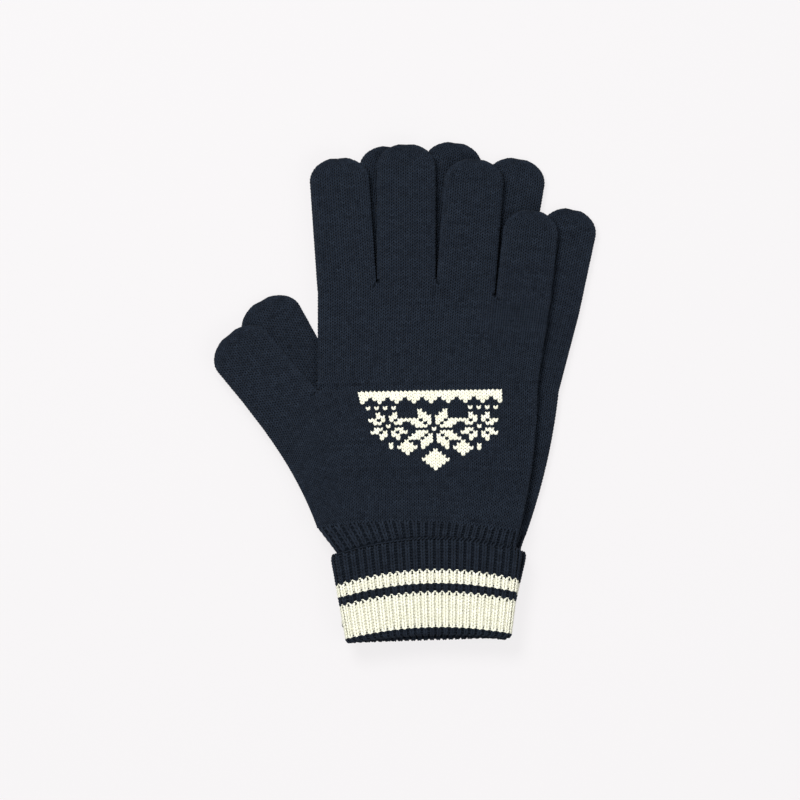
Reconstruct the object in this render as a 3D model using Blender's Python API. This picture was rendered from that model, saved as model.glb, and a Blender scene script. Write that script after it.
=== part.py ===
"""A pair of knitted gloves, lying flat with the right glove on the left one, palms together.

Each glove is a knitted tube that branches: a ribbed cuff turned up over itself, a hand, four finger
stalls and a thumb stall. Metres, +Z up, the fingers towards +Y. The right glove lies with its back
up; the left one lies under it with its palm up, so both show the same outline from above.
"""

import math

import bmesh
import bpy
from mathutils import Matrix, Vector

# The knitted fabric.
WALL = 0.0014  # thickness of one layer
INSIDE = 0.0043  # clear height inside a glove that lies flat
GAP = 0.0003  # left between pieces that touch
SWING_GAP = 0.0011  # left at the root of a stall that swings sideways
WRIST_GAP = 0.0009  # between the hand and the ribbed layer of its cuff

# Hand, in its glove's own plan: x across, y towards the fingers.
PALM_LEFT = -0.0378  # x of the side below the index finger
CROTCH_Y = 0.0020  # height of the thumb's crotch
CROTCH_RIGHT = Vector((0.0614, 0.0038))  # right side, level with the thumb's crotch
CROTCH_WEB = 0.0025  # knitted web that closes the thumb's crotch
WRIST_X = 0.0076  # middle of the wrist
WRIST_Y = -0.0573
WRIST_WIDTH = 0.0909
WRIST_BOW = 0.0040  # rise of the wrist's middle above its ends
WRIST_SLOPE = -0.022  # rise of the wrist's line towards the right
SIDE_SWAY = 0.0020  # how far the hand's columns bend to the right between wrist and thumb

# Finger stalls from the thumb's side on: name, flat width, height of the root's middle.
FINGERS = (
    ("index_finger", 0.0266, 0.0475),
    ("middle_finger", 0.0262, 0.0521),
    ("ring_finger", 0.0264, 0.0466),
    ("little_finger", 0.0246, 0.0412),
)
THUMB_ROOT = 0.0304  # flat width where the thumb leaves the hand
THUMB_WIDTH = 0.0285
TIP_LENGTH = 0.0100  # length over which a fingertip rounds off
TIP_END = 0.26  # share of its width that a fingertip keeps at its blunt end
# How each stall lies, in the same order and then the thumb: length, lean to the left in degrees.
LYING = {
    "right": ((0.0588, 4.0), (0.0603, 0.0), (0.0592, -4.5), (0.0416, -6.3), (0.0445, 39.5)),
    "left": ((0.0583, 0.5), (0.0584, -1.6), (0.0597, -4.0), (0.0450, -6.3), (0.0456, 34.6)),
}

# Ribbed cuff: the rib runs down from the wrist to the fold, and the turned-up layer back up.
RIB_SHOWN = 0.0069  # rib left uncovered between the turn-up's edge and the wrist
CUFF_X = 0.0112  # middle of the cuff's free edge
FOLD_X = 0.0124  # and of its fold
FOLD_WIDTH = 0.0734
EDGE_WIDTH = 0.0870
FOLD_BOW = 0.0002  # rise of the fold's middle above its ends
EDGE_BOW = 0.0067
BOW_RATE = 0.6  # how fast the bow grows above the fold, until it is the free edge's
CUFF_SLOPE = 0.032  # rise of the cuff's bands towards the right
# Bands of the turned-up layer from the fold up: name, height, yarn.
CUFF_BANDS = (
    ("cuff_fold_band", 0.0061, "navy"),
    ("cuff_wide_stripe", 0.0155, "cream"),
    ("cuff_middle_band", 0.0043, "navy"),
    ("cuff_thin_stripe", 0.0056, "cream"),
    ("cuff_top_band", 0.0138, "navy"),
    ("cuff_edge", 0.0014, "navy"),
)

# Patterned patch on the back of the hand, knitted in a second yarn.
MOTIF_CENTRE = Vector((0.0147, -0.0166))
MOTIF_WIDTH = 0.0660
MOTIF_HEIGHT = 0.0355
MOTIF_FOOT = 0.0220  # width of its lower end
MOTIF_THICK = 0.0005
MOTIF_INSET = 0.0001  # how far its face lies below the fabric's

# How the pair lies.
LEFT_TURN = math.radians(-5.8)  # the left glove is turned clockwise
LEFT_PIVOT = Vector((0.0394, -0.0916))
STACK_GAP = 0.0004  # between the two gloves
LEFT_DROP = 0.012  # length over which the left hand comes down from its cuff to the table
RIGHT_DROP = 0.022  # length over which the right hand comes down from its cuff to the left hand

# Facets.
ACROSS = 5  # along each flat side of a ring
ROUND = 4  # round each folded side of a ring
TIP_STEPS = 5  # round a fingertip
EDGE_STEPS = (0.0, 0.18, 0.55)  # columns beside a folded side, as shares of the half thickness
THUMB_COLUMNS = (0.2, 0.5, 0.75)  # the other columns below the thumb, as shares of its root
LOWER_ROWS = (0.0, 0.12, 0.25, 0.38, 0.52, 0.68, 0.84, 0.96, 1.0)  # rows from wrist to crotch
UPPER_ROWS = (0.04, 0.3, 0.65, 0.92, 1.0)  # rows from crotch to knuckles
BLUNT_END = 0.96  # how far a stall's thickness has closed at its tip

HALF = WALL + INSIDE / 2  # half the thickness of a flat glove
CUFF_HALF = HALF + GAP + WALL  # half the thickness of the turned-up cuff

YARNS = {
    "navy": (0.0130, 0.0190, 0.0300, 1.0),
    "cream": (0.8400, 0.8300, 0.7000, 1.0),
}
YARN_ROUGHNESS = 0.9


def yarn(name):
    """The material of one yarn on one piece: each piece owns its own."""
    material = bpy.data.materials.new(name)
    material.use_nodes = True
    shader = material.node_tree.nodes["Principled BSDF"]
    colour = YARNS[name.rsplit(".", 1)[-1]]
    material.diffuse_color = colour
    shader.inputs["Base Color"].default_value = colour
    shader.inputs["Roughness"].default_value = YARN_ROUGHNESS
    shader.inputs["Metallic"].default_value = 0.0
    return material


def new_object(name, bm, colour):
    """An object of this name from a bmesh, with its own yarn material."""
    mesh = bpy.data.meshes.new(name)
    bm.to_mesh(mesh)
    bm.free()
    mesh.materials.append(yarn(f"{name}.{colour}"))
    piece = bpy.data.objects.new(name, mesh)
    bpy.context.scene.collection.objects.link(piece)
    return piece


def empty(name, location, turn, parent):
    frame = bpy.data.objects.new(name, None)
    frame.location = location
    frame.rotation_euler = (0.0, 0.0, turn)
    frame.parent = parent
    bpy.context.scene.collection.objects.link(frame)
    return frame


def smooth_step(t):
    t = min(max(t, 0.0), 1.0)
    return t * t * (3 - 2 * t)


def bowed(middle, width, share, bow, slope):
    """A point this share of the way along a line of this width, bowed up in its middle and sloping."""
    x = width * (share - 0.5)
    return middle + Vector((x, slope * x - bow * (2 * share - 1) ** 2))


def wrist_point(share):
    """A point on the line where the hand meets the rib."""
    return bowed(Vector((WRIST_X, WRIST_Y)), WRIST_WIDTH, share, WRIST_BOW, WRIST_SLOPE)


def flat_ring(half_width, half_height):
    """Points (x, z) round a flattened tube: two flat sides and two round folds."""
    radius = min(half_height, half_width)
    straight = half_width - radius
    points = []
    for side in (1, -1):
        for step in range(ACROSS):
            points.append((side * straight * (1 - 2 * step / ACROSS), side * half_height))
        for step in range(ROUND):
            angle = math.pi / 2 + math.pi * step / ROUND
            x = straight + radius * math.sin(angle - math.pi / 2)
            points.append((-side * x, side * half_height * math.cos(angle - math.pi / 2)))
    return points


def loft(rings, closed):
    """A bmesh through the rings: its two ends are capped, or joined to each other if closed."""
    bm = bmesh.new()
    rows = [[bm.verts.new(point) for point in ring] for ring in rings]
    pairs = list(zip(rows, rows[1:]))
    if closed:
        pairs.append((rows[-1], rows[0]))
    count = len(rings[0])
    for low, high in pairs:
        for i in range(count):
            j = (i + 1) % count
            bm.faces.new((low[i], low[j], high[j], high[i]))
    if not closed:
        bm.faces.new(rows[0])
        bm.faces.new(rows[-1][::-1])
    bmesh.ops.recalc_face_normals(bm, faces=bm.faces)
    return bm


# Finger stalls and thumb stall.


def stall_rings(root_width, width, length, inset, middle):
    """Rings from root to tip of a stall's surface, this far inside its outer one."""
    half_height = HALF - inset
    end = length - inset
    tip = TIP_LENGTH - inset
    shoulder = end - tip
    full = width / 2 - inset
    stations = [(0.0, root_width / 2 - inset), (shoulder / 2, full)]
    turn = math.acos(TIP_END)
    for step in range(TIP_STEPS + 1):
        angle = turn * step / TIP_STEPS
        y = shoulder + tip * math.sin(angle) / math.sin(turn)
        stations.append((y, full * math.cos(angle)))
    rings = []
    for y, half_width in stations:
        over = max(0.0, (y - (end - half_height)) / half_height)
        height = half_height * math.sqrt(1 - BLUNT_END * over * over)
        rings.append([Vector((x, y, z + middle)) for x, z in flat_ring(half_width, height)])
    return rings


def make_stall(name, root_width, width, length, middle):
    """A closed-ended tube along +Y from its root at the origin, its mid-plane at this height."""
    outer = stall_rings(root_width, width, length, 0.0, middle)
    inner = stall_rings(root_width, width, length, WALL, middle)
    return new_object(name, loft(inner[::-1] + outer, closed=False), "navy")


# Hand.


def finger_roots(side):
    """Middle, width and lean of each finger's root, placed by the widths of the fingers before it."""
    x = PALM_LEFT
    roots = []
    for (_, width, y), (_, lean) in zip(FINGERS, LYING[side]):
        roots.append((Vector((x + width / 2, y)), width, math.radians(lean)))
        x += width + GAP
    return roots


def thumb_root(side):
    """Inner end, outer end and middle of the line on which the thumb leaves the hand, and its lean."""
    lean = math.radians(LYING[side][-1][1])
    crotch = Vector((PALM_LEFT, CROTCH_Y))
    along = Vector((-math.cos(lean), -math.sin(lean))) * THUMB_ROOT
    return crotch, crotch + along, crotch + along / 2, lean


def knuckle_point(side, share, root_gap):
    """A point on the hand's open top edge, just below the root of the finger that stands there."""
    roots = finger_roots(side)
    right = roots[-1][0].x + roots[-1][1] / 2
    x = PALM_LEFT + (right - PALM_LEFT) * share
    middle, _, lean = min(roots, key=lambda root: abs(x - root[0].x) / root[1])
    return Vector((x, middle.y + (x - middle.x) * math.tan(lean) - root_gap / math.cos(lean)))


def hand_columns(side):
    """Where the columns of the hand's grid stand on the line through the thumb's crotch."""
    palm = (CROTCH_RIGHT - Vector((PALM_LEFT, CROTCH_Y))).length
    near = [HALF * step for step in EDGE_STEPS]
    thumb = near + [THUMB_ROOT * share for share in THUMB_COLUMNS] + [THUMB_ROOT - CROTCH_WEB]
    roots = finger_roots(side)
    full = roots[-1][0].x + roots[-1][1] / 2 - PALM_LEFT
    inner = [(roots[0][0].x - PALM_LEFT) / full * palm]
    for (left, width, _), (right, _, _) in zip(roots, roots[1:]):
        border = (left.x + width / 2 - PALM_LEFT) / full * palm
        inner += [border - GAP, border + 2 * GAP, (right.x - PALM_LEFT) / full * palm]
    palm_columns = near + inner + [palm - step for step in near[::-1]]
    return thumb, [THUMB_ROOT + column for column in palm_columns], THUMB_ROOT + palm


def hand_rows(side, root_gap):
    """Rows of plan points, wrist to knuckles, the row of the thumb's crotch and its column."""
    thumb, palm, full = hand_columns(side)
    crotch, outer, _, _ = thumb_root(side)
    line = (CROTCH_RIGHT - crotch).normalized()
    away = (crotch - outer).normalized()
    below = Vector((away.y, -away.x)) * root_gap
    rows = []
    for share in LOWER_ROWS:
        sway = Vector((4 * SIDE_SWAY * share * (1 - share), 0.0))
        row = []
        for column in thumb + palm:
            past = column - THUMB_ROOT
            high = crotch + line * past
            if past < 0:
                high = outer + away * column + below * (-past / THUMB_ROOT)
            low = wrist_point(column / full) + Vector((0.0, WRIST_GAP))
            row.append(low.lerp(high, share) + sway)
        rows.append(row)
    for share in UPPER_ROWS:
        row = [None] * len(thumb)
        for column in palm:
            past = column - THUMB_ROOT
            high = knuckle_point(side, past / (full - THUMB_ROOT), root_gap)
            row.append((crotch + line * past).lerp(high, share))
        rows.append(row)
    return rows, len(LOWER_ROWS) - 1, len(thumb)


def edge_height(point, row, first, web):
    """Half the thickness of the flat tube at this point, falling to nothing at its folded sides."""
    reach = min((point - row[first]).length, (point - row[-1]).length)
    if web:
        start, end = web
        along = end - start
        share = min(max((point - start).dot(along) / along.length_squared, 0.0), 1.0)
        reach = min(reach, (point - start - along * share).length)
    inward = max(0.0, 1 - reach / HALF)
    return HALF * math.sqrt(max(0.0, 1 - inward * inward))


def make_hand(side, level, root_gap, motif_side):
    """The hand: a front and a back sheet that meet in folds, open at wrist, fingers and thumb."""
    name = f"{side}_hand"
    rows, crotch_row, crotch = hand_rows(side, root_gap)
    bm = bmesh.new()
    sheets = {}
    web = (rows[crotch_row][crotch - 1], rows[crotch_row][crotch])
    for j, row in enumerate(rows):
        first = 0 if j <= crotch_row else crotch
        for i in range(first, len(row)):
            point = row[i]
            height = edge_height(point, row, first, web if j <= crotch_row else None)
            folded = i in (first, len(row) - 1) or (j == crotch_row and i in (crotch - 1, crotch))
            middle = level(point.y)
            if folded:
                shared = bm.verts.new((point.x, point.y, middle))
                sheets[1, j, i] = sheets[-1, j, i] = shared
                continue
            for face in (1, -1):
                sheets[face, j, i] = bm.verts.new((point.x, point.y, middle + face * height))
    for j in range(len(rows) - 1):
        first = 0 if j < crotch_row else crotch
        for i in range(first, len(rows[j]) - 1):
            corners = ((j, i), (j, i + 1), (j + 1, i + 1), (j + 1, i))
            bm.faces.new([sheets[1, *corner] for corner in corners])
            bm.faces.new([sheets[-1, *corner] for corner in corners[::-1]])
    hand = new_object(name, bm, "navy")
    wall = hand.modifiers.new("wall", "SOLIDIFY")
    wall.thickness = WALL
    wall.offset = -1
    wall.use_even_offset = True
    pocket = make_motif_plate(f"{name}_motif_pocket", level, motif_side, GAP)
    pocket.hide_render = True
    pocket.display_type = "WIRE"
    cut = hand.modifiers.new("motif_pocket", "BOOLEAN")
    cut.operation = "DIFFERENCE"
    cut.object = pocket
    return hand, pocket


def make_motif_plate(name, level, side, grow):
    """The patch of the second yarn, a flat plate let into the back of the hand; a pocket grows by grow."""
    half_width = MOTIF_WIDTH / 2 + grow
    half_foot = MOTIF_FOOT / 2 + grow
    half_height = MOTIF_HEIGHT / 2 + grow
    outline = (
        (half_width, half_height),
        (-half_width, half_height),
        (-half_width, 0.0),
        (-half_foot, -half_height),
        (half_foot, -half_height),
        (half_width, 0.0),
    )
    face = HALF - MOTIF_INSET
    depths = (face - MOTIF_THICK - grow, face if not grow else HALF + WALL)
    rings = []
    for depth in depths:
        z = level(MOTIF_CENTRE.y) + side * depth
        rings.append([Vector((MOTIF_CENTRE.x + x, MOTIF_CENTRE.y + y, z)) for x, y in outline])
    return new_object(name, loft(rings, closed=False), "cream")


# Cuff.


def cuff_height():
    return sum(height for _, height, _ in CUFF_BANDS)


def cuff_ring(height, depth, middle):
    """A ring of the cuff, this high above the fold and this deep below its outer surface."""
    full = cuff_height()
    share = height / full
    width = FOLD_WIDTH + (EDGE_WIDTH - FOLD_WIDTH) * share
    bow = min(EDGE_BOW, FOLD_BOW + BOW_RATE * height)
    centre = Vector((FOLD_X + (CUFF_X - FOLD_X) * share, WRIST_Y - RIB_SHOWN - full + height))
    ring = []
    for x, z in flat_ring(width / 2 - depth, CUFF_HALF - depth):
        plan = bowed(centre, width, x / width + 0.5, bow, CUFF_SLOPE)
        ring.append(Vector((plan.x, plan.y, z + middle)))
    return ring


def make_cuff_band(name, low, high, colour, middle, foot):
    """One band of the turned-up layer; with a foot it turns in under the ribbed layer, as a fold does."""
    deep = 2 * WALL + GAP
    corners = [(low, 0.0), (high, 0.0), (high, WALL)]
    if foot:
        corners += [(low + WALL, WALL), (low + WALL, deep), (low, deep)]
    else:
        corners.append((low, WALL))
    rings = [cuff_ring(height, depth, middle) for height, depth in corners]
    return new_object(name, loft(rings, closed=True), colour)


def make_cuff_rib(name, middle, level):
    """The ribbed layer inside the turn-up, from the fold to the wrist, where it meets the hand."""
    heights = (WALL + GAP, cuff_height() / 2, cuff_height())
    rings = []
    for inset in (0.0, WALL):
        layer = [cuff_ring(height, WALL + GAP + inset, middle) for height in heights]
        wrist = []
        for x, z in flat_ring(WRIST_WIDTH / 2 - inset, HALF - inset):
            plan = wrist_point(x / WRIST_WIDTH + 0.5)
            wrist.append(Vector((plan.x, plan.y, z + level(plan.y))))
        layer.append(wrist)
        rings += layer[::-1] if inset else layer
    return new_object(name, loft(rings, closed=True), "navy")


# One glove, and the pair.


def make_glove(side, frame, middle, drop, cuff_middle, motif_side, root_gap, pivot_on_top):
    """All pieces of one glove, parented to its frame; returns them."""

    def level(y):
        start = WRIST_Y - WRIST_BOW - WRIST_GAP
        return middle + (cuff_middle - middle) * (1 - smooth_step((y - start) / drop))

    hand, pocket = make_hand(side, level, root_gap, motif_side)
    motif = make_motif_plate(f"{side}_motif", level, motif_side, 0.0)
    rib = make_cuff_rib(f"{side}_cuff_rib", cuff_middle, level)
    pieces = [hand, pocket, motif, rib]
    low = 0.0
    for name, height, colour in CUFF_BANDS:
        foot = low == 0.0
        band = make_cuff_band(
            f"{side}_{name}", low, low + height - GAP, colour, cuff_middle, foot
        )
        pieces.append(band)
        low += height
    stalls = []
    for (name, width, _), (length, _), root in zip(FINGERS, LYING[side], finger_roots(side)):
        stalls.append((name, width, width, length, root[2], root[0]))
    _, _, root, lean = thumb_root(side)
    stalls.append(("thumb", THUMB_ROOT - 2 * GAP, THUMB_WIDTH, LYING[side][-1][0], lean, root))
    pivot = HALF if pivot_on_top else 0.0
    for name, root_width, width, length, lean, root in stalls:
        stall = make_stall(f"{side}_{name}", root_width, width, length, -pivot)
        stall.location = (root.x, root.y, middle + pivot)
        stall.rotation_euler = (0.0, 0.0, lean)
        pieces.append(stall)
    for piece in pieces:
        piece.parent = frame
        piece.data.shade_smooth()
        piece.data.set_sharp_from_angle(angle=math.radians(50))
    return pieces


def place_on_origin(frame, pieces):
    """Moves the pair so that the origin is the middle of the rectangle it covers, on the table."""
    bpy.context.view_layer.update()
    shown = [piece for piece in pieces if not piece.hide_render]
    corners = [piece.matrix_world @ vert.co for piece in shown for vert in piece.data.vertices]
    low = Vector([min(corner[axis] for corner in corners) for axis in range(3)])
    high = Vector([max(corner[axis] for corner in corners) for axis in range(3)])
    frame.location = -Vector(((low.x + high.x) / 2, (low.y + high.y) / 2, low.z))


def main():
    for old in list(bpy.data.objects):
        bpy.data.objects.remove(old, do_unlink=True)
    pair = empty("glove_pair", (0.0, 0.0, 0.0), 0.0, None)
    turned = LEFT_PIVOT - Matrix.Rotation(LEFT_TURN, 2) @ LEFT_PIVOT
    left_frame = empty("left_glove", (turned.x, turned.y, 0.0), LEFT_TURN, pair)
    right_frame = empty("right_glove", (0.0, 0.0, 0.0), 0.0, pair)
    pieces = make_glove(
        "left", left_frame, HALF, LEFT_DROP, CUFF_HALF, -1, SWING_GAP, pivot_on_top=False
    )
    pieces += make_glove(
        "right",
        right_frame,
        3 * HALF + STACK_GAP,
        RIGHT_DROP,
        3 * CUFF_HALF + STACK_GAP,
        1,
        GAP,
        pivot_on_top=True,
    )
    place_on_origin(pair, pieces)


main()
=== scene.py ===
"""A pair of knitted gloves lying flat, the right one on the left one, palms together.

Every stitch is a short piece of yarn laid on the fabric's own surface, course by course.
"""

import math

import bpy
import numpy as np
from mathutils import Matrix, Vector


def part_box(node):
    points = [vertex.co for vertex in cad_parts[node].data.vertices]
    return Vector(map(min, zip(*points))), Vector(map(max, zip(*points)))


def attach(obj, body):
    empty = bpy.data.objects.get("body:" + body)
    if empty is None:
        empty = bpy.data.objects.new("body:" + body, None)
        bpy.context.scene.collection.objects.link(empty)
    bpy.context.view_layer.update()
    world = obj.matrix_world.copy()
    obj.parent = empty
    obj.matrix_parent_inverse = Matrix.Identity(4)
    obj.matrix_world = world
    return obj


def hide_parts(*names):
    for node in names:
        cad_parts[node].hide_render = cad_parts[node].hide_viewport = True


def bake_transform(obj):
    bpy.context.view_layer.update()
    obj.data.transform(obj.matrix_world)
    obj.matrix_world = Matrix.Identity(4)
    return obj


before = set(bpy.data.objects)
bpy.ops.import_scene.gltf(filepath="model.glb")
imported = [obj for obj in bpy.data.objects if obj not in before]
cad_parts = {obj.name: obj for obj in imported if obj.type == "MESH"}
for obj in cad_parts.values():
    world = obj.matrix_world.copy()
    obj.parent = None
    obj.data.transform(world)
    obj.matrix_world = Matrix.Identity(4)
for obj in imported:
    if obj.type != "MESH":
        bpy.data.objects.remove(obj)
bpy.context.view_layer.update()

SIDES = ("left", "right")

# ------------------------------------------------------------------------------------------
# The hands. Each is a tube of plain knitting in fine navy yarn, flat as it lies, that runs on
# from the ribbed wrist and opens into four finger stalls and, on its left side, the thumb.
# Its courses fan out from the thumb's line until they run straight across the palm.

WALL = 0.0014  # one layer of the knitting
HALF = WALL + 0.0043 / 2  # half the thickness of a flat glove
SINK = 0.0004  # how far the middle of the yarn lies below the fabric's outer surface
ROUND = HALF - SINK  # radius of the yarn's path round a folded side
FOLD_SPARE = ROUND * (math.pi / 2 - 1)  # fabric that a folded side takes up beyond its width
GAP = 0.0003
LEFT_ROOT_GAP = 0.0011

WALE = 0.0020  # width of a stitch
COURSE = 0.00136  # height of a stitch
PALM_COURSES = 44  # from the wrist to the thumb's crotch
KNUCKLE_COURSES = 34  # from there to the fingers
THUMB_WALES = 15  # on one face of the hand, that run into the thumb
PALM_WALES = 51  # on one face of the hand, that run on to the fingers

PALM_LEFT = -0.0378
CROTCH = np.array((PALM_LEFT, 0.0020))
CROTCH_RIGHT = np.array((0.0614, 0.0038))
CROTCH_WEB = 0.0025
THUMB_ROOT = 0.0304
THUMB_SHARE = 0.13  # of the wrist's width, taken by the wales that lead to the thumb
WRIST = np.array((0.0076, -0.0573))
WRIST_WIDTH = 0.0909
WRIST_BOW = 0.0040
WRIST_SLOPE = -0.022
WRIST_GAP = 0.0009
SIDE_SWAY = 0.0020
FINGERS = (
    ("index_finger", 0.0266, 0.0475),
    ("middle_finger", 0.0262, 0.0521),
    ("ring_finger", 0.0264, 0.0466),
    ("little_finger", 0.0246, 0.0412),
)
LYING = {  # length of each stall and its lean in degrees, the thumb last
    "right": ((0.0588, 4.0), (0.0603, 0.0), (0.0592, -4.5), (0.0416, -6.3), (0.0445, 39.5)),
    "left": ((0.0583, 0.5), (0.0584, -1.6), (0.0597, -4.0), (0.0450, -6.3), (0.0456, 34.6)),
}
ROOT_GAP = {"left": LEFT_ROOT_GAP, "right": GAP}
LEFT_TURN = math.radians(-5.8)
LEFT_PIVOT = np.array((0.0394, -0.0916))
DROP = {"left": 0.012, "right": 0.022}
ON_TABLE = 0.00075  # least height of the middle of the yarn, which the table flattens


def middle_of(node):
    low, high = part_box(node)
    return (low + high) / 2


HAND_LEVEL = {side: middle_of(f"{side}_index_finger").z for side in SIDES}
CUFF_LEVEL = {side: middle_of(f"{side}_cuff_wide_stripe").z for side in SIDES}
# The right middle finger stands straight, so its box says where the gloves' plan lies.
PLAN_SHIFT = np.array(
    (
        middle_of("right_middle_finger").x - (PALM_LEFT + 0.0266 + GAP + 0.0131),
        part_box("right_middle_finger")[1].y - 0.0521 - 0.0603,
    )
)


def smooth(t):
    t = np.clip(t, 0.0, 1.0)
    return t * t * (3 - 2 * t)


def level(side, y):
    """Height of a glove's mid-plane: the hand comes down from the thicker cuff."""
    start = WRIST[1] - WRIST_BOW - WRIST_GAP
    return HAND_LEVEL[side] + (CUFF_LEVEL[side] - HAND_LEVEL[side]) * (
        1 - smooth((y - start) / DROP[side])
    )


def laid(side, plan, height):
    """Points of a glove where it lies, from its own plan and their heights above the table."""
    if side == "left":
        c, s = math.cos(LEFT_TURN), math.sin(LEFT_TURN)
        away = plan - LEFT_PIVOT
        plan = LEFT_PIVOT + np.stack(
            (c * away[..., 0] - s * away[..., 1], s * away[..., 0] + c * away[..., 1]), -1
        )
    height = np.maximum(height, ON_TABLE)
    return np.concatenate((plan + PLAN_SHIFT, height[..., None]), -1)


def wrist_line(share):
    x = WRIST_WIDTH * (share - 0.5)
    y = WRIST_SLOPE * x - WRIST_BOW * (2 * share - 1) ** 2
    return WRIST + np.stack((x, y), -1)


def thumb_line(side):
    """Outer end of the line on which the thumb leaves the hand, its direction and the lean."""
    lean = math.radians(LYING[side][-1][1])
    away = np.array((math.cos(lean), math.sin(lean)))
    return CROTCH - away * THUMB_ROOT, away, lean


def finger_roots(side):
    """Middle, width and lean of each finger's root."""
    x = PALM_LEFT
    roots = []
    for (_, width, y), (_, lean) in zip(FINGERS, LYING[side]):
        roots.append((np.array((x + width / 2, y)), width, math.radians(lean)))
        x += width + GAP
    return roots


PALM_RIGHT = finger_roots("right")[-1][0][0] + FINGERS[-1][1] / 2
PALM_LINE = CROTCH_RIGHT - CROTCH
PALM_LENGTH = float(np.linalg.norm(PALM_LINE))
FULL_LENGTH = THUMB_ROOT + PALM_LENGTH


def palm_row(side, share, across):
    """Plan of a course below the thumb's crotch: its height and its points are shares, 0 to 1."""
    run = across * FULL_LENGTH
    past = run - THUMB_ROOT
    outer, away, _ = thumb_line(side)
    below = np.array((away[1], -away[0])) * ROOT_GAP[side]
    thumb = outer + away * run[:, None] + below * np.clip(-past / THUMB_ROOT, 0, 1)[:, None]
    palm = CROTCH + PALM_LINE / PALM_LENGTH * past[:, None]
    high = np.where(past[:, None] < 0, thumb, palm)
    wrist_share = np.where(
        past < 0,
        THUMB_SHARE * run / THUMB_ROOT,
        THUMB_SHARE + (1 - THUMB_SHARE) * past / PALM_LENGTH,
    )
    low = wrist_line(wrist_share)
    sway = np.array((4 * SIDE_SWAY * share * (1 - share), 0.0))
    return low + (high - low) * share + sway


# The longer side of a crotch reaches a little past its middle, so that no hole is left: by this
# share of a finger's width for each metre that its root is higher.
CROTCH_REACH = 8


def knuckle_row(side, share, across):
    """Plan of a course between the thumb's crotch and the fingers."""
    x = PALM_LEFT + (PALM_RIGHT - PALM_LEFT) * across
    high = np.zeros((len(x), 2))
    roots = finger_roots(side)
    nearest = np.argmin(
        [np.abs(x - root[0]) / width - CROTCH_REACH * root[1] for root, width, _ in roots], axis=0
    )
    for i, (root, _, lean) in enumerate(roots):
        own = nearest == i
        drop = ROOT_GAP[side] / math.cos(lean)
        high[own, 0] = x[own]
        high[own, 1] = root[1] + (x[own] - root[0]) * math.tan(lean) - drop
    low = CROTCH + PALM_LINE * across[:, None]
    return low + (high - low) * share


def round_fall(reach):
    """Half the thickness of the fabric this far from a place where its two faces meet."""
    return ROUND * np.sqrt(1 - np.clip(1 - reach / ROUND, 0, 1) ** 2)


def spread(end, parts, left_fold):
    """Distances from the left edge, and half thicknesses, of a course's points along the yarn."""
    start, spare = (SINK, FOLD_SPARE) if left_fold else (0.0, 0.0)
    arc = end - SINK - start + spare + FOLD_SPARE
    along, mark = [np.zeros(1)], 0.0
    for run, wales in parts:
        stop = arc if run is None else run - start + spare
        along.append(np.linspace(mark, stop, wales + 1)[1:])
        mark = stop
    along = np.concatenate(along)
    left = np.clip(along / ROUND, 0, math.pi / 2) if left_fold else math.pi / 2
    right = np.clip((arc - along) / ROUND, 0, math.pi / 2)
    run = start + along - spare
    run = np.where(left < math.pi / 2, start + ROUND * (1 - np.cos(left)), run)
    run = np.where(right < math.pi / 2, end - SINK - ROUND * (1 - np.cos(right)), run)
    return run, ROUND * np.minimum(np.sin(left), np.sin(right))


def sheet_row(row_plan, parts, rise, left_fold=1.0):
    """Plan and half thickness of a course's points, from fold to fold; parts hold their wales.

    With a rise of 0 the wales are shared out across the hand, whatever the course's own steps.
    """
    fine = np.linspace(0, 1, 400)
    path = row_plan(fine)
    run = np.linalg.norm(np.diff(path, axis=0) * (1.0, rise), axis=1)
    run = np.concatenate(([0.0], np.cumsum(run)))
    parts = [(None if end is None else np.interp(end, fine, run), wales) for end, wales in parts]
    folded, thick = spread(run[-1], parts, True)
    if left_fold < 1:
        flat, flat_thick = spread(run[-1], parts, False)
        folded = flat + (folded - flat) * left_fold
        thick = flat_thick + (thick - flat_thick) * left_fold
    return row_plan(np.interp(folded, run, fine)), thick


SWELL = 0.00012  # size of the soft unevenness of the fabric


def swell(plan):
    """Soft unevenness of fabric that was pressed flat and let go: it only sinks."""
    x, y = plan[..., 0], plan[..., 1]
    return SWELL * (
        np.sin(x * 310 + y * 130 + 1.0)
        + np.sin(y * 270 - x * 90 + 2.2)
        + np.sin((x + y) * 560 + 0.4) * 0.6
        - 2.6
    )


CROTCH_DIP = 0.75  # half thickness left between two fingers, as a share of the hand's
CROTCH_RISE = 0.0008  # how far above its higher root the middle of a crotch's dip lies
FOLD_COURSES = 6  # courses over which the hand's side gets its fold, above the thumb


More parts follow.
